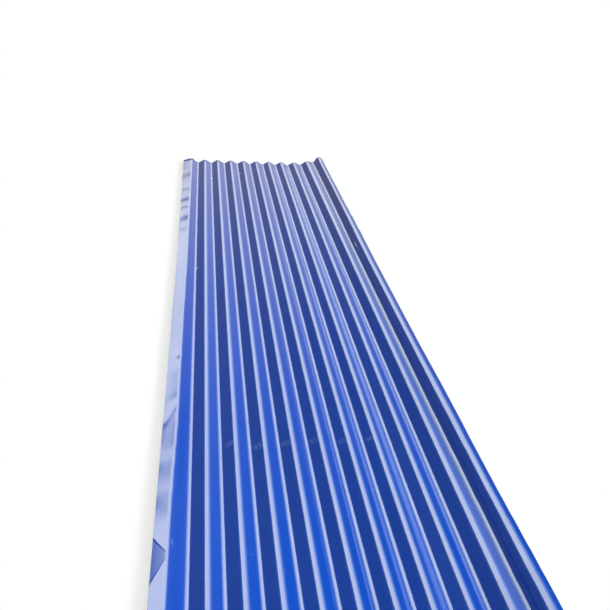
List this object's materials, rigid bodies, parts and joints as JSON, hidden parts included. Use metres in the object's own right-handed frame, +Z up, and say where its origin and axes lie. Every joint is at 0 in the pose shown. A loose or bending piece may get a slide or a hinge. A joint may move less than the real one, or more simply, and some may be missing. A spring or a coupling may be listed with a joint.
{
  "type": "corrugated metal sheet",
  "caption": "Long thin painted steel sheet rolled into rounded lengthwise waves, with a flat side lip on one long edge and a raised rib on the other, for roofs and walls.",
  "frame": {"origin": "middle of the sheet's length and width, at the level of the floor that its valleys lie on", "axes": "+Y along the waves and the sheet's length, +X across the waves from the flat lip to the raised rib, +Z up"},
  "size_m": [0.8286, 3, 0.0541],
  "materials": {
    "painted_steel": "gloss blue coil coating"
  },
  "bodies": {
    "root": {"corrugated_sheet": "painted_steel"}
  },
  "joints": []
}
